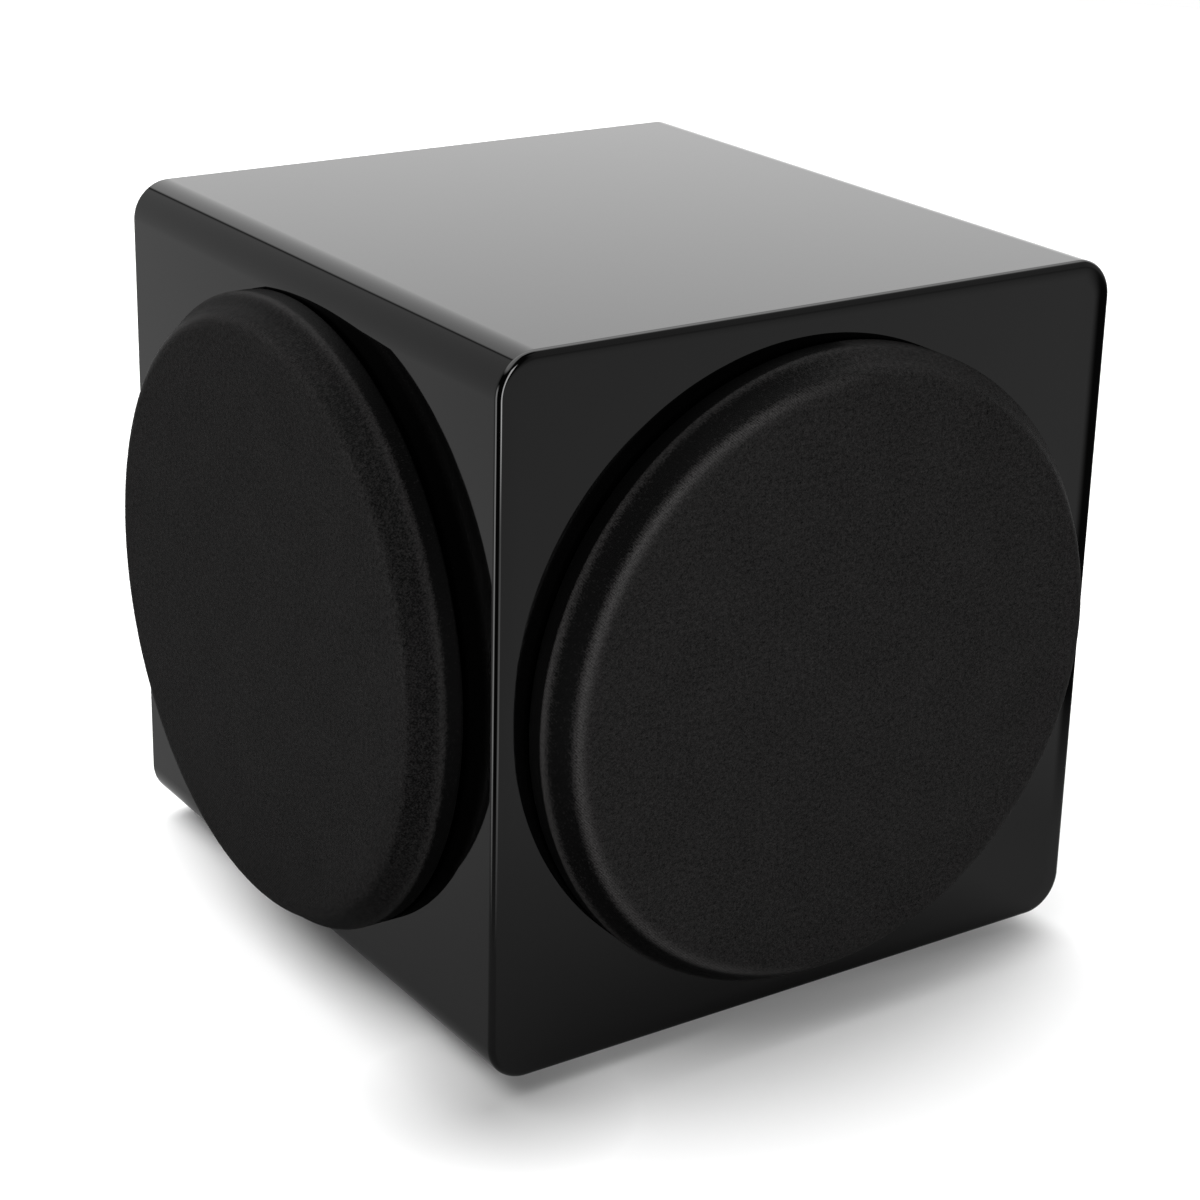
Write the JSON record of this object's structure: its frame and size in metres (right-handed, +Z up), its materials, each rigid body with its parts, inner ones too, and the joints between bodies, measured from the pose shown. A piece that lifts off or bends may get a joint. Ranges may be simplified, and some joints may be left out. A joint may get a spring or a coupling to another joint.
{
  "type": "subwoofer",
  "caption": "Compact cube subwoofer in gloss black with a round cloth grille on two neighbouring faces, an active driver, a passive radiator and a rear amplifier.",
  "frame": {"origin": "on the floor, under the centre of the object's bounding box", "axes": "+Z up; -Y out of the front face with the active driver; -X out of the side face with the passive radiator; +Y out of the back with the amplifier"},
  "size_m": [0.2994, 0.3356, 0.288],
  "materials": {
    "gloss_lacquer": "piano-black lacquer over fibreboard, mirror gloss",
    "raw_board": "raw or black-stained fibreboard",
    "grille_cloth": "black stretch knit, fine weave, matt",
    "grille_plastic": "moulded black plastic",
    "rubber": "soft black rubber",
    "sealing_foam": "closed-cell black foam",
    "cast_basket": "black powder-coated casting",
    "cone_pulp": "coated black paper pulp",
    "coil_former": "amber film former",
    "copper_winding": "enamelled copper wire",
    "spider_cloth": "resin-treated cotton",
    "plated_steel": "zinc-plated steel",
    "black_screw": "black oxide screws",
    "ferrite": "dark grey ceramic magnet",
    "amplifier_plate": "fine black textured paint",
    "black_anodised": "satin black anodised extrusion",
    "moulded_plastic": "moulded black plastic",
    "gold_contact": "gold-plated contact",
    "status_lens": "tinted green lens",
    "circuit_board": "green solder mask",
    "capacitor_can": "shrink-sleeved can",
    "transformer_wrap": "yellow polyester tape",
    "wadding": "loose polyester wadding",
    "lead_jacket": "red and black twin wire"
  },
  "bodies": {
    "cabinet": {"cabinet_body": "gloss_lacquer", "rear_panel": "raw_board", "cabinet_brace": "raw_board", "damping_pad": "wadding", "foot_front_left": "rubber", "foot_front_right": "rubber", "foot_rear_left": "rubber", "foot_rear_right": "rubber", "woofer_seal": "sealing_foam", "woofer_basket": "cast_basket", "woofer_top_plate": "plated_steel", "woofer_magnet": "ferrite", "woofer_yoke": "plated_steel", "woofer_terminal": "moulded_plastic", "woofer_spider": "spider_cloth", "woofer_surround": "rubber", "radiator_seal": "sealing_foam", "radiator_frame": "cast_basket", "radiator_surround": "rubber", "amplifier_plate": "amplifier_plate", "amplifier_seal": "sealing_foam", "heatsink": "black_anodised", "line_jack_left": "gold_contact", "line_jack_right": "gold_contact", "mains_inlet": "moulded_plastic", "rocker_housing": "moulded_plastic", "circuit_board": "circuit_board", "capacitor_1": "capacitor_can", "capacitor_2": "capacitor_can", "mains_transformer": "transformer_wrap", "speaker_lead": "lead_jacket", "status_lens": "status_lens", "front_peg_cup_1": "rubber", "front_peg_cup_2": "rubber", "front_peg_cup_3": "rubber", "front_peg_cup_4": "rubber", "side_peg_cup_1": "rubber", "side_peg_cup_2": "rubber", "side_peg_cup_3": "rubber", "side_peg_cup_4": "rubber", "plate_screw_1": "black_screw", "plate_screw_2": "black_screw", "plate_screw_3": "black_screw", "plate_screw_4": "black_screw"},
    "woofer_moving": {"woofer_cone": "cone_pulp", "woofer_dust_cap": "cone_pulp", "coil_former": "coil_former", "coil_winding": "copper_winding"},
    "radiator_moving": {"radiator_diaphragm": "cone_pulp", "radiator_weight": "plated_steel"},
    "front_grille": {"front_grille_frame": "grille_plastic", "front_grille_cloth": "grille_cloth"},
    "side_grille": {"side_grille_frame": "grille_plastic", "side_grille_cloth": "grille_cloth"},
    "level_knob": {"level_knob": "moulded_plastic"},
    "crossover_knob": {"crossover_knob": "moulded_plastic"},
    "phase_slider": {"phase_slider": "moulded_plastic"},
    "mode_slider": {"mode_slider": "moulded_plastic"},
    "power_rocker": {"power_rocker": "moulded_plastic"},
    "fuse_drawer": {"fuse_drawer": "moulded_plastic"}
  },
  "joints": [
    {"name": "woofer_stroke", "type": "slide", "parent": "cabinet", "child": "woofer_moving", "axis": [0, -1, 0], "range_m": [-0.007, 0.007], "stiffness_N_per_m": 2500, "deforming": ["woofer_surround", "woofer_spider"]},
    {"name": "radiator_stroke", "type": "slide", "parent": "cabinet", "child": "radiator_moving", "axis": [-1, 0, 0], "range_m": [-0.008, 0.008], "stiffness_N_per_m": 1800, "deforming": ["radiator_surround"]},
    {"name": "front_grille_pull", "type": "slide", "parent": "cabinet", "child": "front_grille", "axis": [0, -1, 0], "range_m": [0, 0.03]},
    {"name": "side_grille_pull", "type": "slide", "parent": "cabinet", "child": "side_grille", "axis": [-1, 0, 0], "range_m": [0, 0.03]},
    {"name": "level_turn", "type": "hinge", "parent": "cabinet", "child": "level_knob", "pos_m": [-0.02325, 0.15575, 0.23], "axis": [0, 1, 0], "range_deg": [-150, 150]},
    {"name": "crossover_turn", "type": "hinge", "parent": "cabinet", "child": "crossover_knob", "pos_m": [-0.06325, 0.15575, 0.23], "axis": [0, 1, 0], "range_deg": [-150, 150]},
    {"name": "phase_slide", "type": "slide", "parent": "cabinet", "child": "phase_slider", "axis": [-1, 0, 0], "range_m": [0, 0.0044]},
    {"name": "mode_slide", "type": "slide", "parent": "cabinet", "child": "mode_slider", "axis": [-1, 0, 0], "range_m": [0, 0.0068]},
    {"name": "power_rock", "type": "hinge", "parent": "cabinet", "child": "power_rocker", "pos_m": [-0.00925, 0.14825, 0.082], "axis": [1, 0, 0], "range_deg": [0, 16]},
    {"name": "fuse_slide", "type": "slide", "parent": "cabinet", "child": "fuse_drawer", "axis": [0, 1, 0], "range_m": [0, 0.02]}
  ]
}
